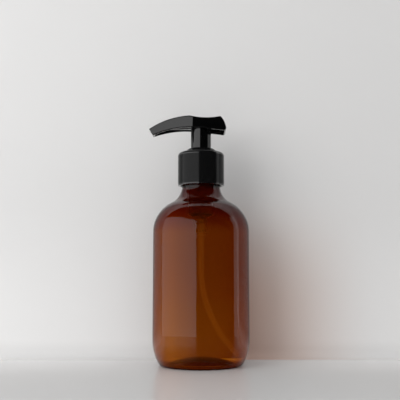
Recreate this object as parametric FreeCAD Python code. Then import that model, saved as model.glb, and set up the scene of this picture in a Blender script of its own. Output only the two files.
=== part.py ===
import FreeCAD, Part
import math
import os

# Pump oil bottle, in millimetres. Z is the axis of the bottle, z = 0 is the surface it stands on,
# and the spout points to -X.

# Bottle
body_d = 64.0
bottle_h = 138.4
neck_h = 19.6
neck_wall = 1.95
wall = 0.9
base_wall = 1.4
heel_r = 29.0
heel_h = 16.0
foot_corner_r = 2.5
foot_w = 2.6
pushup_h = 4.0
gate_d = 3.2
gate_h = 0.6
shoulder_h = 30.8
shoulder_r = 21.6
rim_r = 0.5

# Screw closure, gasket and the flange they clamp
gasket_t = 1.0
flange_t = 1.4
flange_room = 0.45
closure_d = 31.3
closure_h = 23.4
closure_wall = 1.8
closure_top_t = 1.2
closure_hole_gap = 0.3
thread_room = 1.1
crown_r = 2.2
crown_slope = 15.0
crown_w = 4.0
closure_foot_edge = 0.5

# Chaplet: the guide ring with its lip on top of the closure
lip_gap = 0.1
lip_cover = 1.02
lip_land = 0.67
lip_h = 1.9
lip_edge_h = 0.4
guide_wall = 1.75
guide_floor_t = 1.2
snap_h = 0.3
snap_drop = 3.5

# Clearances: a running fit, a light seat, the gap at a stop and a loose guide
running_gap = 0.08
seat_gap = 0.03
stop_gap = 0.1
loose_gap = 0.3

# Strokes
stroke = 9.5
slip = 1.2
ball_lift = 1.3

# Head, seen from the front
skirt_wall = 1.2
skirt_hold = 4.5
skirt_room = 0.4
head_room = 1.6
head_h = 10.45
crest_x = -7.0
spout_top_r = 52.5
spout_reach = 35.2
spout_end_angle = 31.0
crest_r = 5.0
pad_x = 4.0
pad_drop = 1.45
pad_r = 46.0
rear_x = 17.0
rear_r = 14.5
rear_corner_r = 1.5
rear_top_corner_r = 1.0
under_slope = 6.6
under_r = 65.0
under_apex_x = -8.0

# Head, seen from above, and its inside
pad_w = 18.0
pad_taper = 2.0
narrow_x = -6.0
narrow_r = 12.0
tip_w = 6.8
head_edge_r = 0.8
head_wall = 1.3
head_roof = 3.5
nozzle_d = 3.0
channel_wall = 1.2
channel_drop = 5.6
cavity_h = 9.5
socket_h = 5.5

# Stem, rod and piston
stem_d = 7.0
stem_bore_d = 4.2
stop_d = 10.4
stop_t = 1.2
bore_d = 14.0
barrel_wall = 1.2
cup_wall = 1.5
cup_room = 0.59
hub_bore_d = 6.0
hub_wall = 1.3
hub_h = 6.0
piston_h = 9.0
piston_lip_t = 0.6
piston_waist = 0.7
piston_web_t = 1.6
rod_disc_d = 10.4
rod_disc_t = 1.0
rod_rib_t = 1.2
rod_spigot_h = 9.0
spring_pin_h = 2.2

# Spring, its seat and the inlet valve
wire_d = 1.0
wire_sides = 6
spring_d = 9.6
spring_h = 16.5
spring_turns = 5.0
end_pitch = 1.6
seat_t = 1.0
seat_rim_t = 0.8
seat_rim_h = 1.5
seat_hole_d = 3.6
seat_slot_w = 1.4
ball_d = 4.5
ball_room = 0.65
inlet_d = 2.8
inlet_h = 0.7
vent_d = 1.2

# Dip tube and the tail that holds it
tube_d = 4.0
tube_wall = 0.6
tail_h = 6.5
tail_wall = 1.4
tube_bend_angle = 41.0
tube_end_run = 8.0
tube_side_gap = 6.5
tube_foot_gap = 5.2

# Straight faces that stand for a small round
edge_steps = 2
crown_steps = 4

# Heights and radii that follow from the sizes above, from the closure inwards
body_r = body_d / 2
neck_z = bottle_h - neck_h
shoulder_z = neck_z - shoulder_h
closure_r = closure_d / 2
closure_bore_r = closure_r - closure_wall
flange_r = closure_bore_r - flange_room
neck_r = closure_bore_r - thread_room
neck_bore_r = neck_r - neck_wall
cup_r = neck_bore_r - cup_room
cup_bore_r = cup_r - cup_wall
guide_r = cup_bore_r - seat_gap
guide_bore_r = guide_r - guide_wall
skirt_r = guide_bore_r - running_gap
closure_hole_r = guide_r + closure_hole_gap
lip_r = closure_hole_r + lip_cover
lip_top_r = guide_bore_r + lip_land
flange_z0 = bottle_h + gasket_t
flange_z1 = flange_z0 + flange_t
closure_z1 = flange_z1 + closure_top_t
closure_z0 = closure_z1 - closure_h
lip_z0 = closure_z1 + lip_gap
lip_z1 = lip_z0 + lip_h
skirt_z0 = lip_z1 - skirt_hold
under_z = lip_z1 + stroke + head_room
head_top_z = under_z + head_h
pad_z = head_top_z - pad_drop
channel_z = head_top_z - channel_drop
cavity_z = skirt_z0 + cavity_h
socket_z = cavity_z + socket_h
spout_c = (crest_x, head_top_z - spout_top_r)
rear_c = (rear_x - rear_r, under_z)
pocket_z = skirt_z0 - stroke - skirt_room
cup_z = pocket_z - guide_floor_t
stem_r = stem_d / 2
stop_z1 = cup_z - stop_gap
stop_z0 = stop_z1 - stop_t
hub_z1 = stop_z0 - slip - stop_gap
hub_z0 = hub_z1 - hub_h
hub_bore_r = hub_bore_d / 2
hub_r = hub_bore_r + hub_wall
bore_r = bore_d / 2
piston_r = bore_r - running_gap
piston_z1 = cup_z - slip - 3 * stop_gap
piston_z0 = piston_z1 - piston_h
rod_disc_r = rod_disc_d / 2
spring_z1 = hub_z0 + hub_r - rod_disc_r - stop_gap - rod_disc_t
spring_z0 = spring_z1 - spring_h
ledge_z = spring_z0 - seat_t
coil_r = (spring_d - wire_d) / 2
ball_r = ball_d / 2
ball_z = ledge_z - stop_gap - ball_lift - ball_r
chamber_r = ball_r + ball_room
cone_z = ball_z - (ball_r + seat_gap) * math.sqrt(2)
inlet_r = inlet_d / 2
tube_r = tube_d / 2
tube_z = cone_z + inlet_r - inlet_h
tail_z = tube_z - tail_h
tail_r = tube_r + seat_gap + tail_wall


def point(x, z):
    return FreeCAD.Vector(x, 0, z)


def on_circle(centre, r, degrees):
    a = math.radians(degrees)
    return (centre[0] + r * math.cos(a), centre[1] + r * math.sin(a))


def turn(centre, r, start, end):
    """An arc as (middle, end), for the outline that reaches its start."""
    return (on_circle(centre, r, (start + end) / 2), on_circle(centre, r, end))


def facets(centre, r, start, end, count):
    """The corners of straight faces along an arc, for the outline that reaches its start."""
    return [on_circle(centre, r, start + (end - start) * i / count) for i in range(1, count + 1)]


def outline(start, *steps):
    """A closed face in the XZ plane: a step is a point to go to or an arc as (middle, end)."""
    edges = []
    here = start
    for step in steps + (start,):
        arc = isinstance(step[0], tuple)
        end = step[1] if arc else step
        if math.dist(here, end) > 1e-6:
            if arc:
                edges.append(Part.Arc(point(*here), point(*step[0]), point(*end)).toShape())
            else:
                edges.append(Part.makeLine(point(*here), point(*end)))
        here = end
    return Part.Face(Part.Wire(edges))


def lathe(start, *steps):
    return outline(start, *steps).revolve(point(0, 0), point(0, 1), 360)


def disc(r, z0, z1):
    return Part.makeCylinder(r, z1 - z0, point(0, z0))


def tube(r_out, r_in, z0, z1):
    return disc(r_out, z0, z1).cut(disc(r_in, z0 - 1, z1 + 1))


def angle(centre, p):
    return math.degrees(math.atan2(p[1] - centre[1], p[0] - centre[0]))


def rod_along(path, r, start, direction):
    """A round bar of radius r along a wire."""
    profile = Part.Wire(Part.Circle(start, direction, r).toShape())
    return path.makePipeShell([profile], True, False)


def shoulder_arcs(r, bottle_neck_r):
    """The shoulder arc of radius r and the neck arc that it meets with no kink."""
    centre = (body_r - shoulder_r, shoulder_z)
    across = bottle_neck_r - centre[0]
    rise = neck_z - shoulder_z
    neck_arc_r = (across ** 2 + rise ** 2 - r ** 2) / (2 * (r - across))
    neck_centre = (bottle_neck_r + neck_arc_r, neck_z)
    meet = angle(centre, neck_centre)
    return centre, neck_centre, neck_arc_r, meet


def make_bottle():
    heel_c = (body_r - heel_r, heel_h)
    foot_x = heel_c[0] + math.sqrt((heel_r - foot_corner_r) ** 2 - (heel_h - foot_corner_r) ** 2)
    foot_c = (foot_x, foot_corner_r)
    foot_in = foot_x - foot_w
    meet_heel = angle(heel_c, foot_c)
    dome_r = (foot_in ** 2 + pushup_h ** 2) / (2 * pushup_h)
    dome_c = (0, pushup_h - dome_r)
    gate_r = gate_d / 2
    gate_a = math.degrees(math.acos(gate_r / dome_r))
    inner_rise = pushup_h + base_wall - wall
    inner_dome_r = (foot_in ** 2 + inner_rise ** 2) / (2 * inner_rise)
    inner_dome_c = (0, wall + inner_rise - inner_dome_r)
    sh_c, nk_c, nk_r, meet = shoulder_arcs(shoulder_r, neck_r)
    sh_c_in, nk_c_in, nk_r_in, meet_in = shoulder_arcs(shoulder_r - wall, neck_bore_r)
    rim_c = (neck_r - rim_r, bottle_h - rim_r)
    return lathe(
        (0, pushup_h - gate_h),
        (gate_r, pushup_h - gate_h),
        on_circle(dome_c, dome_r, gate_a),
        turn(dome_c, dome_r, gate_a, angle(dome_c, (foot_in, 0))),
        (foot_x, 0),
        turn(foot_c, foot_corner_r, -90, meet_heel),
        turn(heel_c, heel_r, meet_heel, 0),
        (body_r, shoulder_z),
        turn(sh_c, shoulder_r, 0, meet),
        turn(nk_c, nk_r, 180 + meet, 180),
        (neck_r, bottle_h - rim_r),
        turn(rim_c, rim_r, 0, 90),
        (neck_bore_r, bottle_h),
        (neck_bore_r, neck_z),
        turn(nk_c_in, nk_r_in, 180, 180 + meet_in),
        turn(sh_c_in, shoulder_r - wall, meet_in, 0),
        (body_r - wall, heel_h),
        turn(heel_c, heel_r - wall, 0, meet_heel),
        turn(foot_c, foot_corner_r - wall, meet_heel, -90),
        (foot_in, wall),
        turn(inner_dome_c, inner_dome_r, angle(inner_dome_c, (foot_in, wall)), 90),
    )


def make_closure():
    slope = math.radians(crown_slope)
    arc_end = on_circle((closure_r - crown_r, 0), crown_r, 90 - crown_slope)
    rise = arc_end[1] + (arc_end[0] - (closure_r - crown_w)) * math.tan(slope)
    crown_c = (closure_r - crown_r, closure_z1 - rise)
    return lathe(
        (closure_bore_r, closure_z0),
        (closure_r - closure_foot_edge, closure_z0),
        (closure_r, closure_z0 + closure_foot_edge),
        (closure_r, crown_c[1]),
        *facets(crown_c, crown_r, 0, 90 - crown_slope, crown_steps),
        (closure_r - crown_w, closure_z1),
        (closure_hole_r, closure_z1),
        (closure_hole_r, flange_z1),
        (closure_bore_r, flange_z1),
    )


def make_gasket():
    return tube(flange_r, cup_r + seat_gap, bottle_h, flange_z0)


def make_chaplet():
    low = (lip_r, lip_z0 + lip_edge_h)
    high = (lip_top_r, lip_z1)
    drop = high[1] - low[1]
    reach = low[0] - high[0]
    swell_r = (reach ** 2 + drop ** 2) / (2 * drop)
    swell_c = (lip_top_r, lip_z1 - swell_r)
    snap_z = flange_z1 - snap_drop
    return lathe(
        (stem_r + loose_gap, cup_z),
        (guide_r, cup_z),
        (guide_r, snap_z - 2 * snap_h),
        (guide_r + snap_h, snap_z),
        (guide_r, snap_z + snap_h),
        (guide_r, lip_z0),
        (lip_r, lip_z0),
        low,
        *facets(swell_c, swell_r, angle(swell_c, low), 90, edge_steps),
        (guide_bore_r, lip_z1),
        (guide_bore_r, pocket_z),
        (stem_r + loose_gap, pocket_z),
    )


def make_housing():
    barrel_r = bore_r + barrel_wall
    chamber_wall_r = chamber_r + barrel_wall
    snap_z = flange_z1 - snap_drop
    socket_r = tube_r + seat_gap
    body = lathe(
        (inlet_r, tube_z),
        (socket_r, tube_z),
        (socket_r, tail_z),
        (tail_r, tail_z),
        (tail_r, tube_z - inlet_h),
        (chamber_wall_r, tube_z + inlet_h),
        (chamber_wall_r, ledge_z - 2 * barrel_wall),
        (barrel_r, ledge_z),
        (barrel_r, cup_z - barrel_wall),
        (cup_r, cup_z + barrel_wall),
        (cup_r, flange_z0),
        (flange_r, flange_z0),
        (flange_r, flange_z1),
        (cup_bore_r, flange_z1),
        (cup_bore_r, snap_z + snap_h),
        (cup_bore_r + snap_h, snap_z),
        (cup_bore_r, snap_z - 2 * snap_h),
        (cup_bore_r, cup_z),
        (bore_r, cup_z),
        (bore_r, ledge_z),
        (chamber_r, ledge_z),
        (chamber_r, cone_z + chamber_r),
        (inlet_r, cone_z + inlet_r),
    )
    vent_z = (hub_z0 + hub_z1) / 2
    vent = Part.makeCylinder(vent_d / 2, 2 * barrel_r, point(0, vent_z), FreeCAD.Vector(1, 0, 0))
    return body.cut(vent)


def make_stem():
    bar = disc(stem_r, stop_z0, socket_z - stop_gap)
    stop = disc(stop_d / 2, stop_z0, stop_z1)
    return bar.fuse(stop).cut(disc(stem_bore_d / 2, stop_z0 - 1, socket_z + 1)).removeSplitter()


def make_rod():
    rib_r = hub_bore_r - running_gap
    spigot_r = stem_bore_d / 2 - running_gap
    pin_r = spring_d / 2 - wire_d - loose_gap
    cone_top = hub_z0 + hub_r - stop_gap - rib_r
    shoulder = stop_z0 - stop_gap / 2
    cone = lathe(
        (0, spring_z1 - spring_pin_h),
        (pin_r - loose_gap, spring_z1 - spring_pin_h),
        (pin_r, spring_z1 - spring_pin_h + 2 * loose_gap),
        (pin_r, spring_z1),
        (rod_disc_r, spring_z1),
        (rod_disc_r, spring_z1 + rod_disc_t),
        (rib_r, cone_top),
        (0, cone_top),
    )
    ribs = None
    for side in (0, 90):
        rib = Part.makeBox(4 * rib_r, rod_rib_t, shoulder + rod_spigot_h - cone_top)
        rib.translate(FreeCAD.Vector(-2 * rib_r, -rod_rib_t / 2, cone_top))
        rib.rotate(point(0, 0), point(0, 1), side)
        ribs = rib if ribs is None else ribs.fuse(rib)
    round_bar = disc(rib_r, cone_top, shoulder).fuse(disc(spigot_r, shoulder, shoulder + rod_spigot_h))
    return cone.fuse(ribs.common(round_bar)).removeSplitter()


def make_piston():
    waist_r = piston_r - piston_waist
    inner_r = waist_r - piston_lip_t
    web_z = (hub_z0 + hub_z1) / 2
    web_z0 = web_z - piston_web_t / 2
    web_z1 = web_z + piston_web_t / 2
    return lathe(
        (hub_bore_r, hub_z1),
        (hub_bore_r, hub_z0 + hub_wall),
        (hub_r, hub_z0),
        (hub_r, web_z0),
        (inner_r, web_z0),
        (piston_r - piston_lip_t, piston_z0),
        (piston_r, piston_z0),
        (piston_r, piston_z0 + piston_lip_t),
        (waist_r, web_z0),
        (waist_r, web_z1),
        (piston_r, piston_z1 - piston_lip_t),
        (piston_r, piston_z1),
        (piston_r - piston_lip_t, piston_z1),
        (inner_r, web_z1),
        (hub_r, web_z1),
        (hub_r, hub_z1),
    )


def coil_height(turns):
    """Height of the wire's middle: the end turns lie close and the rest are open."""
    inside = spring_h - wire_d
    open_turns = spring_turns - 2
    open_pitch = (inside - 2 * end_pitch) / open_turns
    if turns <= 1:
        return end_pitch * turns
    if turns <= spring_turns - 1:
        return end_pitch + open_pitch * (turns - 1)
    return inside - end_pitch * (spring_turns - turns)


def coil_point(turns):
    a = 2 * math.pi * turns
    z = spring_z0 + wire_d / 2 + coil_height(turns)
    return FreeCAD.Vector(coil_r * math.cos(a), coil_r * math.sin(a), z)


def coil_tangent(turns):
    step = 1e-3
    low = max(turns - step, 0)
    high = min(turns + step, spring_turns)
    climb = (coil_height(high) - coil_height(low)) / (2 * math.pi * (high - low))
    a = 2 * math.pi * turns
    way = FreeCAD.Vector(-coil_r * math.sin(a), coil_r * math.cos(a), climb)
    return way.normalize()


def arc_under(start, corner, end):
    """The arc from start to end whose end tangents meet at corner."""
    middle = (start + end) * 0.5
    half = (end - start).Length / 2
    up = corner - middle
    bow = half * math.tan(math.atan2(up.Length, half) / 2)
    return Part.Arc(start, middle + up.normalize() * bow, end).toShape()


def two_arcs(p0, t0, p1, t1):
    """Two arcs that join p0 to p1 and leave and arrive along t0 and t1."""
    v = p1 - p0
    t = t0 + t1
    a = t.dot(t) - 4
    b = -2 * v.dot(t)
    c = v.dot(v)
    d = (-b - math.sqrt(b * b - 4 * a * c)) / (2 * a)
    q0 = p0 + t0 * d
    q1 = p1 - t1 * d
    joint = (q0 + q1) * 0.5
    return [arc_under(p0, q0, joint), arc_under(joint, q1, p1)]


def make_spring():
    """One wire of many-sided section along arcs of half a turn."""
    stops = [i / 2 for i in range(int(round(2 * spring_turns)) + 1)]
    edges = []
    for low, high in zip(stops, stops[1:]):
        edges += two_arcs(coil_point(low), coil_tangent(low), coil_point(high), coil_tangent(high))
    along = coil_tangent(0)
    outward = FreeCAD.Vector(1, 0, 0)
    upward = along.cross(outward)
    corners = []
    for i in range(wire_sides):
        a = 2 * math.pi * (i + 0.5) / wire_sides
        corners.append(coil_point(0) + (outward * math.cos(a) + upward * math.sin(a)) * (wire_d / 2))
    section = Part.makePolygon(corners + corners[:1])
    spring = Part.Wire(edges).makePipeShell([section], True, False)
    marks = [coil_point(i / 40) for i in range(int(40 * spring_turns) + 1)]
    least = min(
        (p - q).Length - wire_d for i, p in enumerate(marks) for q in marks[i + 20:]
    )
    print("spring: least gap between turns %.2f mm" % least)
    return spring


def make_spring_seat():
    rim_r = spring_d / 2 - wire_d - loose_gap
    plate = disc(bore_r - loose_gap, ledge_z, spring_z0)
    rim = tube(rim_r, rim_r - seat_rim_t, spring_z0, spring_z0 + seat_rim_h)
    seat = plate.fuse(rim).cut(disc(seat_hole_d / 2, ledge_z - 1, spring_z0 + 1))
    for side in (0, 120, 240):
        slot = Part.makeBox(rim_r - seat_rim_t, seat_slot_w, seat_t)
        slot.translate(FreeCAD.Vector(0, -seat_slot_w / 2, ledge_z))
        slot.rotate(point(0, 0), point(0, 1), side)
        seat = seat.cut(slot)
    return seat.removeSplitter()


def make_ball():
    return Part.makeSphere(ball_r, point(0, ball_z))


def make_dip_tube():
    """Straight down from its socket, then one wide bend to a tip near the heel."""
    a = math.radians(tube_bend_angle)
    tip = (body_r - wall - tube_side_gap, wall + tube_foot_gap)
    bend_end = (tip[0] - tube_end_run * math.sin(a), tip[1] + tube_end_run * math.cos(a))
    bend_r = bend_end[0] / (1 - math.cos(a))
    bend_c = (bend_r, bend_end[1] + bend_r * math.sin(a))
    bend_mid = on_circle(bend_c, bend_r, 180 + tube_bend_angle / 2)
    top = (0, tube_z - stop_gap)
    bend_start = (0, bend_c[1])
    path = Part.Wire(
        [
            Part.makeLine(point(*top), point(*bend_start)),
            Part.Arc(point(*bend_start), point(*bend_mid), point(*bend_end)).toShape(),
            Part.makeLine(point(*bend_end), point(*tip)),
        ]
    )
    down = point(0, -1)
    outside = rod_along(path, tube_r, point(*top), down)
    inside = rod_along(path, tube_r - tube_wall, point(*top), down)
    return outside.cut(inside)


def circles_meet(c1, r1, c2, r2):
    """The two points where two circles cross."""
    dx = c2[0] - c1[0]
    dz = c2[1] - c1[1]
    d = math.hypot(dx, dz)
    a = (r1 ** 2 - r2 ** 2 + d ** 2) / (2 * d)
    h = math.sqrt(r1 ** 2 - a ** 2)
    foot = (c1[0] + a * dx / d, c1[1] + a * dz / d)
    return (foot[0] - h * dz / d, foot[1] + h * dx / d), (foot[0] + h * dz / d, foot[1] - h * dx / d)


def edges_across(shape, x, z):
    """Edges that run along Y nearest to a place in the side view."""
    def off(edge):
        p = edge.Vertexes[0].Point
        q = edge.Vertexes[-1].Point
        across = abs(p.x - q.x) + abs(p.z - q.z) < 1e-3
        return math.hypot(p.x - x, p.z - z) if across else 1e3
    return [min(shape.Edges, key=off)]


def line_meets(start, way, centre, r):
    """How far along a line of unit direction it first meets a circle."""
    off = (start[0] - centre[0], start[1] - centre[1])
    b = off[0] * way[0] + off[1] * way[1]
    c = off[0] ** 2 + off[1] ** 2 - r ** 2
    return min(t for t in (-b - math.sqrt(b * b - c), -b + math.sqrt(b * b - c)) if t > 0)


def along(start, way, run):
    return (start[0] + run * way[0], start[1] + run * way[1])


def spout_end():
    """The upper corner of the spout's end face, and the face's direction downwards."""
    tip_a = math.degrees(math.acos((-spout_reach - spout_c[0]) / spout_top_r))
    a = math.radians(spout_end_angle)
    return on_circle(spout_c, spout_top_r, tip_a), (math.sin(a), -math.cos(a)), tip_a


def plan(inset):
    """The head seen from above, drawn in by an inset, as a tall prism: the spout narrows from the pad."""
    spread = math.tan(math.radians(pad_taper))
    end_x = rear_x + 1
    flank = (
        (-spout_reach - 1, tip_w / 2),
        (narrow_x, pad_w / 2),
        (end_x, pad_w / 2 + spread * (end_x - narrow_x)),
    )
    corners = [FreeCAD.Vector(x, y - inset, 0) for x, y in flank]
    corners += [FreeCAD.Vector(x, inset - y, 0) for x, y in flank[::-1]]
    prism = Part.Face(Part.makePolygon(corners + corners[:1])).extrude(FreeCAD.Vector(0, 0, 2 * head_top_z))
    bends = [e for e in prism.Edges if all(abs(v.X - narrow_x) < 1e-3 for v in e.Vertexes)]
    return prism.makeFillet(narrow_r, [e for e in bends if e.Length > head_top_z])


def widen(side):
    """A face in the side view made as wide as the bottle."""
    side.translate(FreeCAD.Vector(0, -body_r, 0))
    return side.extrude(FreeCAD.Vector(0, 2 * body_r, 0))


def head_block():
    """The head in side view, cut to its taper in plan, with rounded edges."""
    pad_c = (pad_x, pad_z + pad_r)
    crest_c = min(circles_meet(spout_c, spout_top_r - crest_r, pad_c, pad_r + crest_r))
    under_a = math.radians(under_slope)
    line_x = under_apex_x + under_r * math.sin(under_a)
    line_z = under_z + (rear_x - line_x) * math.tan(under_a)
    under_c = (line_x - under_r * math.sin(under_a), line_z - under_r * math.cos(under_a))
    tip, way, tip_a = spout_end()
    tip_low = along(tip, way, line_meets(tip, way, under_c, under_r))
    rear_top = max(circles_meet(rear_c, rear_r, pad_c, pad_r))
    crest_a = angle(spout_c, crest_c)
    pad_a0 = angle(pad_c, crest_c)
    pad_a1 = angle(pad_c, rear_top)
    block = widen(outline(
        tip,
        turn(spout_c, spout_top_r, tip_a, crest_a),
        turn(crest_c, crest_r, crest_a, pad_a0 + 180),
        turn(pad_c, pad_r, pad_a0, pad_a1),
        turn(rear_c, rear_r, angle(rear_c, rear_top), 0),
        (rear_x, under_z),
        (line_x, line_z),
        turn(under_c, under_r, 90 - under_slope, angle(under_c, tip_low)),
    ))
    block = block.makeFillet(rear_corner_r, edges_across(block, rear_x, under_z))
    block = block.makeFillet(rear_top_corner_r, edges_across(block, *rear_top))
    block = block.common(plan(0))
    rims = [e for e in block.Edges if abs(e.Vertexes[0].X - e.Vertexes[-1].X) > 1e-3]
    block = block.makeFillet(head_edge_r, rims)
    middle = ((tip[0] + tip_low[0]) / 2, (tip[1] + tip_low[1]) / 2)
    return block, middle


def head_hollow():
    """The space under the head's roof, open below, between walls of even thickness."""
    tip, way, tip_a = spout_end()
    inside = along(tip, (-way[1], way[0]), head_wall)
    roof_r = spout_top_r - head_roof
    front = along(inside, way, line_meets(inside, way, spout_c, roof_r))
    low = along(front, way, 2 * head_h)
    roof_z = spout_c[1] + roof_r
    rear_in = rear_r - head_wall
    corner = (rear_c[0] + math.sqrt(rear_in ** 2 - (roof_z - rear_c[1]) ** 2), roof_z)
    return widen(outline(
        front,
        turn(spout_c, roof_r, angle(spout_c, front), 90),
        corner,
        turn(rear_c, rear_in, angle(rear_c, corner), 0),
        (rear_c[0] + rear_in, low[1]),
        low,
    )).common(plan(head_wall))


def make_head():
    block, middle = head_block()
    a = math.radians(spout_end_angle)
    run = (channel_z - middle[1]) / math.sin(a)
    elbow = point(middle[0] + run * math.cos(a), channel_z)
    down = FreeCAD.Vector(-math.cos(a), 0, -math.sin(a))
    level = FreeCAD.Vector(1, 0, 0)
    bore = nozzle_d / 2
    hull = bore + channel_wall
    skirt = disc(skirt_r, skirt_z0, channel_z)
    hollow = head_hollow()
    for kept in (
        skirt,
        Part.makeCylinder(hull, -elbow.x, elbow, level),
        Part.makeCylinder(hull, run, elbow, down),
    ):
        hollow = hollow.cut(kept)
    head = block.cut(hollow).fuse(skirt)
    for space in (
        disc(skirt_r - skirt_wall, skirt_z0 - 1, cavity_z),
        disc(stem_r + seat_gap, cavity_z - 1, socket_z),
        disc(stem_bore_d / 2, socket_z - 1, channel_z),
        Part.makeCylinder(bore, -elbow.x, elbow, level),
        Part.makeCylinder(bore, run + nozzle_d, elbow, down),
        Part.makeSphere(bore, elbow, level),
    ):
        head = head.cut(space)
    return head.removeSplitter()


os.makedirs("parts", exist_ok=True)
pieces = {
    "bottle": make_bottle(),
    "closure": make_closure(),
    "gasket": make_gasket(),
    "pump_housing": make_housing(),
    "chaplet": make_chaplet(),
    "actuator_head": make_head(),
    "stem": make_stem(),
    "valve_rod": make_rod(),
    "piston": make_piston(),
    "spring": make_spring(),
    "spring_seat": make_spring_seat(),
    "inlet_ball": make_ball(),
    "dip_tube": make_dip_tube(),
}
for name, shape in pieces.items():
    print("%-14s valid %s, solids %d, volume %.1f" % (name, shape.isValid(), len(shape.Solids), shape.Volume))
    shape.exportStep("parts/%s.step" % name)
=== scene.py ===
import bmesh
import bpy
import math
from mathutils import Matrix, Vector


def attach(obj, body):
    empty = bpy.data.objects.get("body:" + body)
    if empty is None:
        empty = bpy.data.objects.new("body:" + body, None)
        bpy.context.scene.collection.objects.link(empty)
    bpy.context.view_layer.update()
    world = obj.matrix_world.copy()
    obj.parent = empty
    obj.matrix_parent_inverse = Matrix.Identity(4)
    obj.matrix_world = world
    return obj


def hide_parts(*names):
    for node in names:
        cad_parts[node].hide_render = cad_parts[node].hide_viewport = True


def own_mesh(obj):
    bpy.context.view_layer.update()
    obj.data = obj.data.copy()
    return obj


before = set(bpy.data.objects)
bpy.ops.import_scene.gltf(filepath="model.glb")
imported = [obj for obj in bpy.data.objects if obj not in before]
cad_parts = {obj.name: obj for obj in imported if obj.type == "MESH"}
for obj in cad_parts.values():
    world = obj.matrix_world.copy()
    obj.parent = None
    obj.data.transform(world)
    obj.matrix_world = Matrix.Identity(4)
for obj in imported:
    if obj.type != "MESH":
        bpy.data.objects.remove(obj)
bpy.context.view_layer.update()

# Units: sizes are in millimetres, as in the solids, and the scene is in metres
MM = 0.001
TURN = 2 * math.pi
SAME = 1e-6

# Bottle
BODY_R = 32.0
BOTTLE_H = 138.4
WALL = 0.9
BASE_WALL = 1.4
HEEL_R = 29.0
HEEL_H = 16.0
FOOT_CORNER_R = 2.5
FOOT_W = 2.6
PUSHUP_H = 4.0
GATE_R = 1.6
GATE_H = 0.6
GATE_EDGE_R = 0.25
SHOULDER_Z = 88.0
SHOULDER_R = 21.6
NECK_Z = 118.8
NECK_R = 12.75
NECK_BORE_R = 10.8
RIM_R = 0.5

# Inner wall of the bottle, against the solids: a lower shoulder and a higher neck curve
INNER_SHOULDER_DROP = 0.8
INNER_NECK_RISE = 0.6

# Thread of the neck and of the closure
THREAD_PITCH = 4.233
THREAD_TURNS = 1.5
THREAD_Z = 128.4
THREAD_H = 0.9
THREAD_BASE_W = 1.9
THREAD_CREST_W = 0.8
THREAD_FADE = 0.35
THREAD_ROW = 0.3
CAP_THREAD_TURNS = 2.0
CAP_THREAD_H = 0.75
CAP_THREAD_BASE_W = 1.5
CAP_THREAD_CREST_W = 0.6

# Closure
CLOSURE_R = 15.65
CLOSURE_Z0 = 118.6
CLOSURE_Z1 = 142.0
CLOSURE_BORE_R = 13.85
CLOSURE_HOLE_R = 8.98
CLOSURE_TOP_T = 1.2
CLOSURE_EDGE_R = 0.55
CROWN_R = 2.2
CROWN_SLOPE = 15.0
CROWN_W = 4.0

# Chaplet
LIP_R = 10.0
LIP_TOP_R = 7.6
LIP_Z0 = 142.1
LIP_Z1 = 144.0
LIP_EDGE_H = 0.4
LIP_EDGE_R = 0.25
GUIDE_R = 8.68
GUIDE_BORE_R = 6.93
GUIDE_HOLE_R = 3.8
GUIDE_Z0 = 128.4
POCKET_Z = 129.6

# Spring
WIRE_R = 0.5
COIL_R = 4.3
SPRING_Z0 = 101.3
SPRING_H = 16.5
SPRING_TURNS = 5.0
END_PITCH = 1.6

# Fineness of the meshes: sides of a round, steps and sharp edges in degrees, and the weld of a copy
SIDES = 144
ARC_STEP = 4.0
BODY_ARC_STEP = 2.5
DOME_ARC_STEP = 1.5
SMALL_ARC_STEP = 18.0
COVE_ARC_STEP = 6.0
WIRE_SIDES = 12
COIL_STEPS = 32
SHARP_TURNED = 35.0
SHARP_COPIED = 30.0
WELD = 0.001

# Finishes
NOISE_SPREAD = (0.3, 0.7)
AMBER_TINT = (0.855, 0.606, 0.01)
AMBER_DENSITY = 3600.0
AMBER_IOR = 1.48
GLOSS_COLOUR = (0.001, 0.001, 0.0011)
GLOSS_IOR = 1.75
SATIN_COLOUR = (0.005, 0.005, 0.0053)
SATIN_IOR = 1.34
NATURAL_COLOUR = (0.98, 0.975, 0.96)
NATURAL_CLEAR = 0.8
NATURAL_ROUGH = 0.35
TUBE_COLOUR = (0.985, 0.98, 0.97)
TUBE_CLEAR = 1.0
TUBE_ROUGH = 0.2
# The dip tube's painted glow: an emission of its own in place of light scattered in its milky plastic
TUBE_SELF_GLOW = 0.02
SELF_GLOW_COLOUR = (1.0, 0.6, 0.3)
IN_OIL_IOR = 1.03
NATURAL_DIM = 0.9
NATURAL_ROUGH_SPREAD = 0.06
FOAM_DARK = (0.68, 0.68, 0.66)
FOAM_LIGHT = (0.86, 0.86, 0.84)
FOAM_ROUGH = 0.8
STEEL_COLOUR = (0.62, 0.62, 0.63)
STEEL_ROUGH_SPREAD = (0.7, 1.4)
WIRE_ROUGH = 0.25
WIRE_SQUEEZE = (1, 1, 8)
BALL_ROUGH = 0.1

# Polished edges of the closure: where the polish ends above its foot and starts below its top
FOOT_POLISH_H = (0.9, 1.2)
CROWN_POLISH_H = (3.0, 2.7)
POLISH_IOR = 1.75
POLISH_ROUGH = 0.03

# Camera, in the photograph's frame of 400 x 400 pixels
FRAME_PX = 400.0
FOCAL_PX = 720.0
SENSOR_W = 36.0
CAMERA_PITCH = 5.95
CAMERA_AT = (-0.67, -482.5, 59.0)

# Stage: a round table, the floor around it, and a wall that meets the table in a cove
TABLE_R = 235.0
TABLE_COLOUR = (0.9, 0.895, 0.89)
TABLE_ROUGH = 0.2
TABLE_IOR = 1.75
FLOOR_Z = -0.1
STAGE_REACH = 1200.0
WALL_Y = 38.0
WALL_LEFT = -205.0
WALL_LIFT = 0.01
WALL_COLOUR = (0.84, 0.835, 0.83)
WALL_ROUGH = 0.9
WALL_IOR = 1.5
COVE_R = 7.0
STAGE_DIM = 0.97
STAGE_NOISE = 8.0
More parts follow.
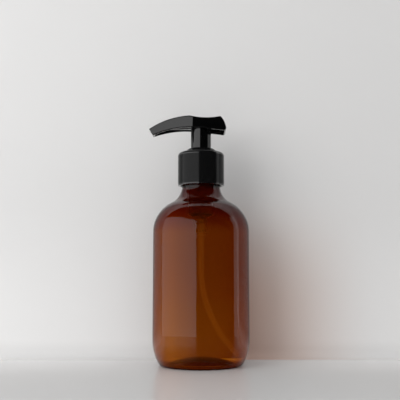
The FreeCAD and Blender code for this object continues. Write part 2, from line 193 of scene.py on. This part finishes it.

# Painted light: the wall is paler low down, but not at the table
WALL_LOW = 1.13
WALL_LOW_Z = (10.0, 130.0)
WALL_FLOOR_Z = (0.0, 14.0)

# Painted light: the wall is warm to the right of the bottle, as if lit through the amber
GLOW_X = (10.0, 130.0)
GLOW_Z = (30.0, 130.0)
GLOW_COLOUR = (0.91, 0.65, 0.54)

# Mirrors show the stage at a share of its brightness, apart from these places, where they show all of it
TABLE_SHOWN = 0.08
TABLE_BESIDE_Y = (-25.0, 0.0)
WALL_SHOWN = 0.5
WALL_FOOT_Z = (4.0, 17.0)
WALL_HIGH_Z = (160.0, 260.0)
WALL_BEHIND_X = ((-55.0, -40.0), (40.0, 55.0))
WALL_BEHIND_Z = (95.0, 110.0)

# Painted glow: brightness of the stage where it is seen through the bottle, and how its green follows
THROUGH_X = (-18.0, 0.5)
THROUGH_LEFT_TO_RIGHT = (0.375, 0.213)
THROUGH_FAR_X = ((-26.0, -14.0), (24.0, 36.0))
THROUGH_FAR = 1.45
THROUGH_Z = (0.0, 80.0)
THROUGH_LOW_TO_HIGH = (1.42, 0.97)
THROUGH_FRONT_Y = (-45.0, -20.0)
THROUGH_FRONT = 0.5
THROUGH_TABLE_Y = (-5.0, 20.0)
THROUGH_TABLE = (0.12, 0.8)
THROUGH_EVEN = 0.3
THROUGH_GREEN = 0.55

# Soft panels: their direction turns from the camera's side, to the right if positive
KEY_DIRECTION = -56.5
KEY_DISTANCE = 290.0
KEY_W = 600.0
KEY_H = 340.0
KEY_MIDDLE_Z = 145.0
KEY_RADIANCE = 1.0
FILL_DISTANCE = 280.0
FILL_RADIANCE = 0.12
STRIP_DIRECTION = 91.5
STRIP_DISTANCE = 330.0
STRIP_W = 131.0
STRIP_H = 340.0
STRIP_MIDDLE_Z = 145.0
STRIP_RADIANCE = 0.65
SPILL_DIRECTION = -45.0
SPILL_DISTANCE = 900.0
SPILL_SIZE = 700.0
SPILL_MIDDLE_Z = 420.0
SPILL_RADIANCE = 2.5

# Card on the table that faces up, and the light of the room
CARD_AT = (-130.0, -190.0, 1.0)
CARD_W = 180.0
CARD_H = 200.0
CARD_RADIANCE = 0.1
AMBIENT = 0.56
DARK_ROOM = 0.01


# Outlines


def on_circle(centre, r, degrees):
    a = math.radians(degrees)
    return (centre[0] + r * math.cos(a), centre[1] + r * math.sin(a))


def arc(centre, r, start, end, step=ARC_STEP):
    """Points along an arc after its start, with angles in degrees."""
    count = max(2, round(abs(end - start) / step))
    return [on_circle(centre, r, start + (end - start) * i / count) for i in range(1, count + 1)]


def angle_to(centre, p):
    return math.degrees(math.atan2(p[1] - centre[1], p[0] - centre[0]))


def rows(start, end):
    """Points up or down a straight wall, close enough to carry a thread."""
    count = round(abs(end[1] - start[1]) / THREAD_ROW)
    step = (end[1] - start[1]) / count
    return [(start[0], start[1] + step * i) for i in range(1, count + 1)]


def shoulder_arcs(r, z, neck_r, neck_z):
    """The shoulder arc of radius r and the neck arc that it meets with no kink."""
    centre = (BODY_R - SHOULDER_R, z)
    across = neck_r - centre[0]
    rise = neck_z - z
    neck_arc_r = (across ** 2 + rise ** 2 - r ** 2) / (2 * (r - across))
    neck_centre = (neck_r + neck_arc_r, neck_z)
    return centre, neck_centre, neck_arc_r, angle_to(centre, neck_centre)


def bottle_outline():
    """Up the outside from the middle of the base, over the rim and down the inside."""
    heel_c = (BODY_R - HEEL_R, HEEL_H)
    foot_x = heel_c[0] + math.sqrt((HEEL_R - FOOT_CORNER_R) ** 2 - (HEEL_H - FOOT_CORNER_R) ** 2)
    foot_c = (foot_x, FOOT_CORNER_R)
    foot_in = foot_x - FOOT_W
    meet_heel = angle_to(heel_c, foot_c)
    dome_r = (foot_in ** 2 + PUSHUP_H ** 2) / (2 * PUSHUP_H)
    dome_c = (0, PUSHUP_H - dome_r)
    inner_rise = PUSHUP_H + BASE_WALL - WALL
    inner_dome_r = (foot_in ** 2 + inner_rise ** 2) / (2 * inner_rise)
    inner_dome_c = (0, WALL + inner_rise - inner_dome_r)
    gate_a = math.degrees(math.acos(GATE_R / dome_r))
    gate_c = (GATE_R - GATE_EDGE_R, PUSHUP_H - GATE_H + GATE_EDGE_R)
    inner_r = SHOULDER_R - WALL
    inner_z = SHOULDER_Z - INNER_SHOULDER_DROP
    bore_z = NECK_Z + INNER_NECK_RISE
    sh_c, nk_c, nk_r, meet = shoulder_arcs(SHOULDER_R, SHOULDER_Z, NECK_R, NECK_Z)
    sh_c_in, nk_c_in, nk_r_in, meet_in = shoulder_arcs(inner_r, inner_z, NECK_BORE_R, bore_z)
    rim_c = (NECK_R - RIM_R, BOTTLE_H - RIM_R)
    rim_c_in = (NECK_BORE_R + RIM_R, BOTTLE_H - RIM_R)
    return [
        (0, PUSHUP_H - GATE_H),
        (GATE_R - GATE_EDGE_R, PUSHUP_H - GATE_H),
        *arc(gate_c, GATE_EDGE_R, -90, 0, SMALL_ARC_STEP),
        on_circle(dome_c, dome_r, gate_a),
        *arc(dome_c, dome_r, gate_a, angle_to(dome_c, (foot_in, 0)), DOME_ARC_STEP),
        (foot_x, 0),
        *arc(foot_c, FOOT_CORNER_R, -90, meet_heel, SMALL_ARC_STEP / 2),
        *arc(heel_c, HEEL_R, meet_heel, 0, BODY_ARC_STEP),
        (BODY_R, SHOULDER_Z),
        *arc(sh_c, SHOULDER_R, 0, meet, BODY_ARC_STEP),
        *arc(nk_c, nk_r, 180 + meet, 180),
        *rows((NECK_R, NECK_Z), (NECK_R, BOTTLE_H - RIM_R)),
        *arc(rim_c, RIM_R, 0, 90, SMALL_ARC_STEP),
        (NECK_BORE_R + RIM_R, BOTTLE_H),
        *arc(rim_c_in, RIM_R, 90, 180, SMALL_ARC_STEP),
        (NECK_BORE_R, bore_z),
        *arc(nk_c_in, nk_r_in, 180, 180 + meet_in),
        *arc(sh_c_in, inner_r, meet_in, 0, BODY_ARC_STEP),
        (BODY_R - WALL, HEEL_H),
        *arc(heel_c, HEEL_R - WALL, 0, meet_heel, BODY_ARC_STEP),
        *arc(foot_c, FOOT_CORNER_R - WALL, meet_heel, -90, SMALL_ARC_STEP),
        (foot_in, WALL),
        *arc(inner_dome_c, inner_dome_r, angle_to(inner_dome_c, (foot_in, WALL)), 90, DOME_ARC_STEP),
    ]


def closure_outline():
    """Up the outside from the foot, over the crown to the hole and down the bore."""
    slope_from = on_circle((CLOSURE_R - CROWN_R, 0), CROWN_R, 90 - CROWN_SLOPE)
    slope_w = slope_from[0] - (CLOSURE_R - CROWN_W)
    rise = slope_from[1] + slope_w * math.tan(math.radians(CROWN_SLOPE))
    crown_c = (CLOSURE_R - CROWN_R, CLOSURE_Z1 - rise)
    edge = CLOSURE_EDGE_R
    foot_c = (CLOSURE_R - edge, CLOSURE_Z0 + edge)
    foot_in_c = (CLOSURE_BORE_R + edge, CLOSURE_Z0 + edge)
    hole_c = (CLOSURE_HOLE_R + edge / 2, CLOSURE_Z1 - edge / 2)
    roof = CLOSURE_Z1 - CLOSURE_TOP_T
    return [
        (CLOSURE_BORE_R + edge, CLOSURE_Z0),
        (CLOSURE_R - edge, CLOSURE_Z0),
        *arc(foot_c, edge, -90, 0, SMALL_ARC_STEP),
        (CLOSURE_R, crown_c[1]),
        *arc(crown_c, CROWN_R, 0, 90 - CROWN_SLOPE),
        (CLOSURE_R - CROWN_W, CLOSURE_Z1),
        (CLOSURE_HOLE_R + edge / 2, CLOSURE_Z1),
        *arc(hole_c, edge / 2, 90, 180, SMALL_ARC_STEP),
        (CLOSURE_HOLE_R, roof),
        (CLOSURE_BORE_R, roof),
        *rows((CLOSURE_BORE_R, roof), (CLOSURE_BORE_R, CLOSURE_Z0 + edge)),
        *arc(foot_in_c, edge, 180, 270, SMALL_ARC_STEP)[:-1],
    ]


def chaplet_outline():
    """Up the outside of the guide, over the swelling lip and down into the pocket."""
    low = (LIP_R, LIP_Z0 + LIP_EDGE_H)
    drop = LIP_Z1 - low[1]
    reach = LIP_R - LIP_TOP_R
    swell_r = (reach ** 2 + drop ** 2) / (2 * drop)
    swell_c = (LIP_TOP_R, LIP_Z1 - swell_r)
    edge_c = (GUIDE_BORE_R + LIP_EDGE_R, LIP_Z1 - LIP_EDGE_R)
    return [
        (GUIDE_HOLE_R, GUIDE_Z0),
        (GUIDE_R, GUIDE_Z0),
        (GUIDE_R, LIP_Z0),
        (LIP_R, LIP_Z0),
        low,
        *arc(swell_c, swell_r, angle_to(swell_c, low), 90),
        (GUIDE_BORE_R + LIP_EDGE_R, LIP_Z1),
        *arc(edge_c, LIP_EDGE_R, 90, 180, SMALL_ARC_STEP),
        (GUIDE_BORE_R, POCKET_Z),
        (GUIDE_HOLE_R, POCKET_Z),
    ]


def thread_rise(z, a, start, turns, base_w, crest_w):
    """How far up its flank, from 0 to 1, a right-hand thread stands at height z and angle a."""
    best = 0.0
    along = a
    while along <= turns * TURN:
        off = abs(z - start - THREAD_PITCH * along / TURN)
        flank = (base_w / 2 - off) / ((base_w - crest_w) / 2)
        fade = min(along, turns * TURN - along) / THREAD_FADE
        best = max(best, min(flank, fade, 1.0))
        along += TURN
    return best


def neck_thread(r, z, a):
    if abs(r - NECK_R) > SAME:
        return r
    return r + THREAD_H * thread_rise(z, a, THREAD_Z, THREAD_TURNS, THREAD_BASE_W, THREAD_CREST_W)


def cap_thread(r, z, a):
    if abs(r - CLOSURE_BORE_R) > SAME:
        return r
    start = THREAD_Z - THREAD_PITCH / 2
    rise = thread_rise(z, a, start, CAP_THREAD_TURNS, CAP_THREAD_BASE_W, CAP_THREAD_CREST_W)
    return r - CAP_THREAD_H * rise


# Meshes


def add_object(name, mesh, material, sharp_degrees):
    """Puts a mesh in the scene, smooth apart from its sharp edges."""
    mesh.shade_smooth()
    mesh.set_sharp_from_angle(angle=math.radians(sharp_degrees))
    mesh.materials.clear()
    mesh.materials.append(material)
    obj = bpy.data.objects.new(name, mesh)
    bpy.context.scene.collection.objects.link(obj)
    return obj


def new_object(name, verts, faces, material):
    mesh = bpy.data.meshes.new(name)
    mesh.from_pydata(verts, [], faces)
    mesh.validate()
    return add_object(name, mesh, material, SHARP_TURNED)


def lathe(name, outline, material, shape=None, closed=True):
    """Turns an outline of (r, z) about Z. An open outline starts and ends on the axis."""
    verts = []
    rings = []
    for r, z in outline:
        if r < SAME:
            rings.append([len(verts)])
            verts.append((0, 0, z * MM))
            continue
        ring = []
        for i in range(SIDES):
            a = TURN * i / SIDES
            x = shape(r, z, a) if shape else r
            ring.append(len(verts))
            verts.append((x * math.cos(a) * MM, x * math.sin(a) * MM, z * MM))
        rings.append(ring)
    faces = []
    pairs = list(zip(rings, rings[1:] + rings[:1]))
    for low, high in pairs if closed else pairs[:-1]:
        for i in range(SIDES):
            j = (i + 1) % SIDES
            corners = [low[i % len(low)], low[j % len(low)], high[j % len(high)], high[i % len(high)]]
            faces.append(list(dict.fromkeys(corners)))
    return new_object(name, verts, faces, material)


def tube_along(name, points, r, sides, material):
    """A round wire through points, closed at both ends."""
    verts = []
    across = Vector((1, 0, 0))
    for i, p in enumerate(points):
        way = (points[min(i + 1, len(points) - 1)] - points[max(i - 1, 0)]).normalized()
        across = (across - way * across.dot(way)).normalized()
        up = way.cross(across)
        for k in range(sides):
            a = TURN * k / sides
            verts.append((p + (across * math.cos(a) + up * math.sin(a)) * r) * MM)
    faces = []
    for i in range(len(points) - 1):
        for k in range(sides):
            n = (k + 1) % sides
            faces.append((i * sides + k, i * sides + n, (i + 1) * sides + n, (i + 1) * sides + k))
    last = (len(points) - 1) * sides
    faces.append(tuple(range(sides - 1, -1, -1)))
    faces.append(tuple(range(last, last + sides)))
    return new_object(name, verts, faces, material)


def smooth_copy(name, node, material):
    """A CAD node's form with flat faces kept flat and rounds shaded smooth."""
    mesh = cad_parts[node].data.copy()
    mesh.name = name
    form = bmesh.new()
    form.from_mesh(mesh)
    bmesh.ops.remove_doubles(form, verts=form.verts, dist=WELD * MM)
    form.to_mesh(mesh)
    form.free()
    obj = add_object(name, mesh, material, SHARP_COPIED)
    weighted = obj.modifiers.new("weighted", "WEIGHTED_NORMAL")
    weighted.mode = "FACE_AREA"
    weighted.keep_sharp = True
    return obj


def coil_points():
    """The wire's middle line: the end turns lie close and the rest are open."""
    inside = SPRING_H - 2 * WIRE_R
    pitch = (inside - 2 * END_PITCH) / (SPRING_TURNS - 2)
    points = []
    for i in range(int(SPRING_TURNS * COIL_STEPS) + 1):
        t = i / COIL_STEPS
        if t <= 1:
            z = END_PITCH * t
        elif t <= SPRING_TURNS - 1:
            z = END_PITCH + pitch * (t - 1)
        else:
            z = inside - END_PITCH * (SPRING_TURNS - t)
        a = TURN * t
        points.append(Vector((COIL_R * math.cos(a), COIL_R * math.sin(a), SPRING_Z0 + WIRE_R + z)))
    return points


def disc(name, r, z, material):
    """A round plate that lies level."""
    turns = [TURN * i / SIDES for i in range(SIDES)]
    verts = [(r * math.cos(a) * MM, r * math.sin(a) * MM, z * MM) for a in turns]
    return new_object(name, verts, [tuple(range(SIDES))], material)


# Nodes of the materials


def feed(material, socket, value):
    """Gives an input what drives it: another node's socket, a number or a colour."""
    if isinstance(value, bpy.types.NodeSocket):
        material.node_tree.links.new(value, socket)
    elif isinstance(value, tuple):
        socket.default_value = (*value, 1)
    else:
        socket.default_value = value


def new_material(name, **values):
    """A material whose shader has the named values, such as Base_Color."""
    material = bpy.data.materials.new(name)
    material.use_nodes = True
    shader = material.node_tree.nodes["Principled BSDF"]
    for socket, value in values.items():
        feed(material, shader.inputs[socket.replace("_", " ")], value)
    return material, shader


def scaled(colour, share):
    return tuple(c * share for c in colour)


def noise(material, scale, detail=3.0, roughness=0.5, squeeze=(1, 1, 1)):
    """A noise texture in the object's own space: its waves in a metre, times the squeeze on each axis."""
    nodes = material.node_tree.nodes
    links = material.node_tree.links
    where = nodes.new("ShaderNodeTexCoord")
    mapping = nodes.new("ShaderNodeMapping")
    mapping.inputs["Scale"].default_value = squeeze
    texture = nodes.new("ShaderNodeTexNoise")
    texture.inputs["Scale"].default_value = scale
    texture.inputs["Detail"].default_value = detail
    texture.inputs["Roughness"].default_value = roughness
    links.new(where.outputs["Object"], mapping.inputs["Vector"])
    links.new(mapping.outputs["Vector"], texture.inputs["Vector"])
    return texture.outputs["Fac"]


def map_range(material, source, reach, values):
    """The node that takes one range of numbers to another."""
    ramp = material.node_tree.nodes.new("ShaderNodeMapRange")
    ramp.inputs["From Min"].default_value = reach[0]
    ramp.inputs["From Max"].default_value = reach[1]
    ramp.inputs["To Min"].default_value = values[0]
    ramp.inputs["To Max"].default_value = values[1]
    material.node_tree.links.new(source, ramp.inputs["Value"])
    return ramp


def along_axis(material, axis, reach, values):
    """A number that eases from one value to another along an axis of the object."""
    nodes = material.node_tree.nodes
    where = nodes.new("ShaderNodeTexCoord")
    split = nodes.new("ShaderNodeSeparateXYZ")
    material.node_tree.links.new(where.outputs["Object"], split.inputs["Vector"])
    ramp = map_range(material, split.outputs[axis], [p * MM for p in reach], values)
    ramp.interpolation_type = "SMOOTHSTEP"
    return ramp.outputs["Result"]


def calculate(material, operation, first, second):
    node = material.node_tree.nodes.new("ShaderNodeMath")
    node.operation = operation
    feed(material, node.inputs[0], first)
    feed(material, node.inputs[1], second)
    return node.outputs["Value"]


def product(material, first, *others):
    for other in others:
        first = calculate(material, "MULTIPLY", first, other)
    return first


def blend_colour(material, factor, first, second):
    """Mixes two colours, each a socket or a value."""
    mix = material.node_tree.nodes.new("ShaderNodeMix")
    mix.data_type = "RGBA"
    feed(material, mix.inputs["Factor"], factor)
    feed(material, mix.inputs["A"], first)
    feed(material, mix.inputs["B"], second)
    return mix.outputs["Result"]


def blend_shader(material, factor, first, second):
    mix = material.node_tree.nodes.new("ShaderNodeMixShader")
    feed(material, mix.inputs["Fac"], factor)
    feed(material, mix.inputs[1], first)
    feed(material, mix.inputs[2], second)
    return mix.outputs["Shader"]


def vary(material, shader, source, low, high):
    """Drives the shader's roughness between low and high, over the usual spread of a noise."""
    ramp = map_range(material, source, NOISE_SPREAD, (low, high))
    feed(material, shader.inputs["Roughness"], ramp.outputs["Result"])


def tint(material, shader, source, dark, light):
    """Drives the shader's colour between dark and light."""
    feed(material, shader.inputs["Base Color"], blend_colour(material, source, dark, light))


def bump(material, shader, source, depth):
    node = material.node_tree.nodes.new("ShaderNodeBump")
    node.inputs["Strength"].default_value = 1.0
    node.inputs["Distance"].default_value = depth * MM
    feed(material, node.inputs["Height"], source)
    feed(material, shader.inputs["Normal"], node.outputs["Normal"])


def mirrored(owner):
    """1 for rays that come by reflection, 0 for those that come straight or through the bottle."""
    nodes = owner.node_tree.nodes
    path = nodes.new("ShaderNodeLightPath")
    only = nodes.new("ShaderNodeMath")
    only.operation = "SUBTRACT"
    only.use_clamp = True
    feed(owner, only.inputs[0], path.outputs["Is Glossy Ray"])
    feed(owner, only.inputs[1], path.outputs["Is Transmission Ray"])
    return only.outputs["Value"]


# Materials of the object


def amber_plastic():
    """Blown amber PET: clear, tinted through its thickness, with a faint ripple."""
    material, shader = new_material(
        "amber_plastic", Base_Color=(1, 1, 1), IOR=AMBER_IOR, Transmission_Weight=1.0
    )
    nodes = material.node_tree.nodes
    absorb = nodes.new("ShaderNodeVolumeAbsorption")
    feed(material, absorb.inputs["Color"], AMBER_TINT)
    feed(material, absorb.inputs["Density"], AMBER_DENSITY)
    feed(material, nodes["Material Output"].inputs["Volume"], absorb.outputs["Volume"])
    vary(material, shader, noise(material, scale=60.0), low=0.0, high=0.015)
    bump(material, shader, noise(material, scale=40.0, detail=1.0), depth=0.01)
    return material


def gloss_black():
    """Polished black moulding of the head."""
    material, shader = new_material("gloss_black", Base_Color=GLOSS_COLOUR, IOR=GLOSS_IOR)
    vary(material, shader, noise(material, scale=120.0), low=0.012, high=0.03)
    bump(material, shader, noise(material, scale=900.0, detail=2.0), depth=0.001)
    return material


def satin_black():
    """Fine spark-eroded texture on the closure and the chaplet, polished at the closure's two edges."""
    material, shader = new_material(
        "satin_black",
        Base_Color=SATIN_COLOUR,
        IOR=SATIN_IOR,
        Coat_IOR=POLISH_IOR,
        Coat_Roughness=POLISH_ROUGH,
    )
    vary(material, shader, noise(material, scale=200.0), low=0.12, high=0.17)
    bump(material, shader, noise(material, scale=2500.0, roughness=0.6), depth=0.008)
    foot = along_axis(material, "Z", [CLOSURE_Z0 + h for h in FOOT_POLISH_H], (1, 0))
    above = along_axis(material, "Z", [CLOSURE_Z1 - h for h in CROWN_POLISH_H], (0, 1))
    below = along_axis(material, "Z", (CLOSURE_Z1, LIP_Z0), (1, 0))
    polish = calculate(material, "ADD", foot, product(material, above, below))
    feed(material, shader.inputs["Coat Weight"], polish)
    return material


def natural_plastic(name, colour, see_through, rough, self_glow=0.0):
    """Uncoloured polyolefin: milky, see-through, with the faint outline that it has in oil.

    Its glow is painted light: an emission that stands for the light that the milky plastic takes in
    through the amber and gives back.
    """
    material, shader = new_material(
        name,
        IOR=IN_OIL_IOR,
        Transmission_Weight=see_through,
        Emission_Color=SELF_GLOW_COLOUR,
        Emission_Strength=self_glow,
    )
    low = rough - NATURAL_ROUGH_SPREAD
    high = rough + NATURAL_ROUGH_SPREAD
    vary(material, shader, noise(material, scale=150.0), low, high)
    tint(material, shader, noise(material, scale=80.0), scaled(colour, NATURAL_DIM), colour)
    bump(material, shader, noise(material, scale=1200.0), depth=0.006)
    return material


def white_foam():
    """Foamed polyethylene with its cells."""
    material, shader = new_material("white_foam", Roughness=FOAM_ROUGH)
    cells = noise(material, scale=2500.0, detail=2.0)
    tint(material, shader, cells, FOAM_DARK, FOAM_LIGHT)
    bump(material, shader, cells, depth=0.04)
    return material


def steel(name, rough, squeeze=(1, 1, 1)):
    """Stainless steel, with marks that are shorter along the axis of the squeeze."""
    material, shader = new_material(name, Base_Color=STEEL_COLOUR, Metallic=1.0)
    marks = noise(material, scale=900.0, detail=2.0, squeeze=squeeze)
    low, high = (rough * share for share in STEEL_ROUGH_SPREAD)
    vary(material, shader, marks, low, high)
    bump(material, shader, marks, depth=0.004)
    return material


# Materials of the stage


def wall_through(material):
    """How bright the wall's painted glow is behind the bottle: more so low down, on the left and at the
    two edges.
    """
    return product(
        material,
        along_axis(material, "X", THROUGH_X, THROUGH_LEFT_TO_RIGHT),
        along_axis(material, "Z", THROUGH_Z, THROUGH_LOW_TO_HIGH),
        along_axis(material, "X", THROUGH_FAR_X[0], (THROUGH_FAR, 1)),
        along_axis(material, "X", THROUGH_FAR_X[1], (1, THROUGH_FAR)),
    )


def table_through(material):
    """How bright the table's painted glow is through the bottle: dark under its front."""
    front = along_axis(material, "Y", THROUGH_FRONT_Y, (THROUGH_FRONT, 0))
    rear = along_axis(material, "Y", THROUGH_TABLE_Y, THROUGH_TABLE)
    return calculate(material, "ADD", front, rear)


def wall_colours(material, pale):
    """The wall's colour as it is seen, with painted light low down and beside the bottle, and as mirrors
    show it.
    """
    # Painted light: the wall is paler low down, fading out at the table
    painted_low_light = product(
        material,
        along_axis(material, "Z", WALL_LOW_Z, (1, 0)),
        along_axis(material, "Z", WALL_FLOOR_Z, (0, 1)),
    )
    # Painted light: an amber glow on the wall to the right of the bottle, where light through the amber
    # would fall
    painted_amber_glow = product(
        material,
        along_axis(material, "X", (-GLOW_X[0], GLOW_X[0]), (0, 1)),
        along_axis(material, "X", GLOW_X, (1, 0)),
        along_axis(material, "Z", GLOW_Z, (1, 0)),
    )
    behind = product(
        material,
        along_axis(material, "X", WALL_BEHIND_X[0], (0, 1)),
        along_axis(material, "X", WALL_BEHIND_X[1], (1, 0)),
        along_axis(material, "Z", WALL_BEHIND_Z, (0, 1)),
    )
    foot = along_axis(material, "Z", WALL_FOOT_Z, (1, 0))
    high = along_axis(material, "Z", WALL_HIGH_Z, (0, 1))
    painted_amber_light = tuple(c * g for c, g in zip(WALL_COLOUR, GLOW_COLOUR))
    seen = blend_colour(material, painted_low_light, pale, scaled(WALL_COLOUR, WALL_LOW))
    seen = blend_colour(material, painted_amber_glow, seen, painted_amber_light)
    shown = scaled(WALL_COLOUR, WALL_SHOWN)
    for share in (foot, high, behind):
        shown = blend_colour(material, share, shown, WALL_COLOUR)
    return seen, shown


def table_colours(material, pale):
    """The table's colour as it is seen and as mirrors show it."""
    beside = along_axis(material, "Y", TABLE_BESIDE_Y, (0, 1))
    shown = blend_colour(material, beside, scaled(TABLE_COLOUR, TABLE_SHOWN), TABLE_COLOUR)
    return pale, shown


def show_through(material, shader, strength):
    """Paints a glow on a surface that shows only through the bottle: a steady brightness, yellower where
    it is brighter.
    """
    nodes = material.node_tree.nodes
    path = nodes.new("ShaderNodeLightPath")
    colour = nodes.new("ShaderNodeCombineColor")
    painted_through_glow = nodes.new("ShaderNodeEmission")
    share = calculate(material, "DIVIDE", strength, THROUGH_EVEN)
    feed(material, colour.inputs["Red"], 1)
    feed(material, colour.inputs["Green"], calculate(material, "POWER", share, THROUGH_GREEN))
    feed(material, colour.inputs["Blue"], 1)
    feed(material, painted_through_glow.inputs["Color"], colour.outputs["Color"])
    feed(material, painted_through_glow.inputs["Strength"], strength)
    through = path.outputs["Is Transmission Ray"]
    return blend_shader(material, through, shader.outputs["BSDF"], painted_through_glow.outputs["Emission"])


def backdrop(name, colour, rough, ior, through, colours):
    """A pale surface, clear from its back, with its own brightness in mirrors and through the bottle."""
    material, shader = new_material(name, Roughness=rough, IOR=ior)
    nodes = material.node_tree.nodes
    pale = blend_colour(material, noise(material, STAGE_NOISE), scaled(colour, STAGE_DIM), colour)
    seen, shown = colours(material, pale)
    feed(material, shader.inputs["Base Color"], blend_colour(material, mirrored(material), seen, shown))
    front = show_through(material, shader, through(material))
    side = nodes.new("ShaderNodeNewGeometry")
    clear = nodes.new("ShaderNodeBsdfTransparent")
    surface = blend_shader(material, side.outputs["Backfacing"], front, clear.outputs["BSDF"])
    feed(material, nodes["Material Output"].inputs["Surface"], surface)
    return material


# Object


def dress(node, material):
    """Gives a CAD node that stays its finish."""
    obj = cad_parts[node]
    for slot in obj.material_slots:
        slot.material = material


def stand_for(obj, node, body):
    """Puts a piece in the place of a CAD node."""
    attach(obj, body)
    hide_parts(node)


def build_object():
    amber = amber_plastic()
    gloss = gloss_black()
    satin = satin_black()
    natural = natural_plastic("natural_plastic", NATURAL_COLOUR, NATURAL_CLEAR, NATURAL_ROUGH)
    clear_tube = natural_plastic("clear_tube", TUBE_COLOUR, TUBE_CLEAR, TUBE_ROUGH, TUBE_SELF_GLOW)
    wire = steel("spring_steel", WIRE_ROUGH, WIRE_SQUEEZE)
    ball = steel("ball_steel", BALL_ROUGH)

    bottle = lathe("bottle_body", bottle_outline(), amber, neck_thread, closed=False)
    stand_for(bottle, "bottle", "bottle")
    closure = lathe("closure_cap", closure_outline(), satin, cap_thread)
    stand_for(closure, "closure", "closure")
    chaplet = lathe("chaplet_ring", chaplet_outline(), satin)
    stand_for(chaplet, "chaplet", "pump_body")
    head = smooth_copy("pump_head", "actuator_head", gloss)
    stand_for(head, "actuator_head", "head")
    spring = tube_along("spring_coil", coil_points(), WIRE_R, WIRE_SIDES, wire)
    stand_for(spring, "spring", "pump_body")
    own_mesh(spring)

    for node in ("pump_housing", "stem", "valve_rod", "piston", "spring_seat"):
        dress(node, natural)
    dress("dip_tube", clear_tube)
    dress("gasket", white_foam())
    dress("inlet_ball", ball)


# Studio


def wall_sheet(material):
    """The wall, drawn along X from its outline of (y, z) with the cove at its foot."""
    cove_c = (WALL_Y - COVE_R, COVE_R)
    side = [(cove_c[0], 0.0), *arc(cove_c, COVE_R, -90, 0, COVE_ARC_STEP), (WALL_Y, STAGE_REACH)]
    verts = []
    for y, z in side:
        for x in (WALL_LEFT, STAGE_REACH):
            verts.append((x * MM, y * MM, (z + WALL_LIFT) * MM))
    faces = [(2 * i, 2 * i + 1, 2 * i + 3, 2 * i + 2) for i in range(len(side) - 1)]
    return new_object("wall", verts, faces, material)


def build_stage():
    paper = backdrop("wall_paper", WALL_COLOUR, WALL_ROUGH, WALL_IOR, wall_through, wall_colours)
    top = backdrop("table_top", TABLE_COLOUR, TABLE_ROUGH, TABLE_IOR, table_through, table_colours)
    table = disc("table", TABLE_R, 0.0, top)
    floor = disc("floor", STAGE_REACH, FLOOR_Z, top)
    floor.visible_glossy = False
    wall = wall_sheet(paper)


def area_light(name, width, height, radiance, place, rotation):
    """A rectangle of even radiance that neither the camera nor the amber shows."""
    data = bpy.data.lights.new(name, "AREA")
    data.shape = "RECTANGLE"
    data.size = width * MM
    data.size_y = height * MM
    data.energy = radiance * math.pi * data.size * data.size_y
    lamp = bpy.data.objects.new(name, data)
    bpy.context.scene.collection.objects.link(lamp)
    lamp.location = Vector(place) * MM
    lamp.rotation_euler = rotation
    lamp.visible_camera = False
    lamp.visible_transmission = False
    return lamp


def panel(name, direction, distance, middle_z, width, height, radiance):
    """A soft upright panel that faces the axis of the bottle."""
    a = math.radians(direction)
    place = (math.sin(a) * distance, -math.cos(a) * distance, middle_z)
    return area_light(name, width, height, radiance, place, (math.pi / 2, 0, a))


def build_lamps():
    """The key shows only in gloss, and the fill and spill only light what is matt."""
    key = panel("key", KEY_DIRECTION, KEY_DISTANCE, KEY_MIDDLE_Z, KEY_W, KEY_H, KEY_RADIANCE)
    key.visible_diffuse = False
    fill = panel("fill", KEY_DIRECTION, FILL_DISTANCE, KEY_MIDDLE_Z, KEY_W, KEY_H, FILL_RADIANCE)
    fill.visible_glossy = False
    panel("strip", STRIP_DIRECTION, STRIP_DISTANCE, STRIP_MIDDLE_Z, STRIP_W, STRIP_H, STRIP_RADIANCE)
    spill = panel(
        "spill", SPILL_DIRECTION, SPILL_DISTANCE, SPILL_MIDDLE_Z, SPILL_SIZE, SPILL_SIZE, SPILL_RADIANCE
    )
    spill.visible_glossy = False
    area_light("card", CARD_W, CARD_H, CARD_RADIANCE, CARD_AT, (math.pi, 0, 0))


def build_room():
    """Even light from all sides, which mirrors show as a dark room."""
    world = bpy.data.worlds.new("room")
    world.use_nodes = True
    bpy.context.scene.world = world
    background = world.node_tree.nodes["Background"]
    mix = world.node_tree.nodes.new("ShaderNodeMix")
    mix.data_type = "FLOAT"
    feed(world, mix.inputs["Factor"], mirrored(world))
    feed(world, mix.inputs["A"], AMBIENT)
    feed(world, mix.inputs["B"], DARK_ROOM)
    feed(world, background.inputs["Color"], (1, 1, 1))
    feed(world, background.inputs["Strength"], mix.outputs["Result"])


def build_camera():
    data = bpy.data.cameras.new("camera")
    data.sensor_width = SENSOR_W
    data.lens = data.sensor_width * FOCAL_PX / FRAME_PX
    camera = bpy.data.objects.new("camera", data)
    bpy.context.scene.collection.objects.link(camera)
    camera.location = Vector(CAMERA_AT) * MM
    camera.rotation_euler = (math.radians(90 + CAMERA_PITCH), 0, 0)
    bpy.context.scene.camera = camera


bpy.context.scene.view_settings.view_transform = "Standard"
build_object()
build_stage()
build_lamps()
build_room()
build_camera()
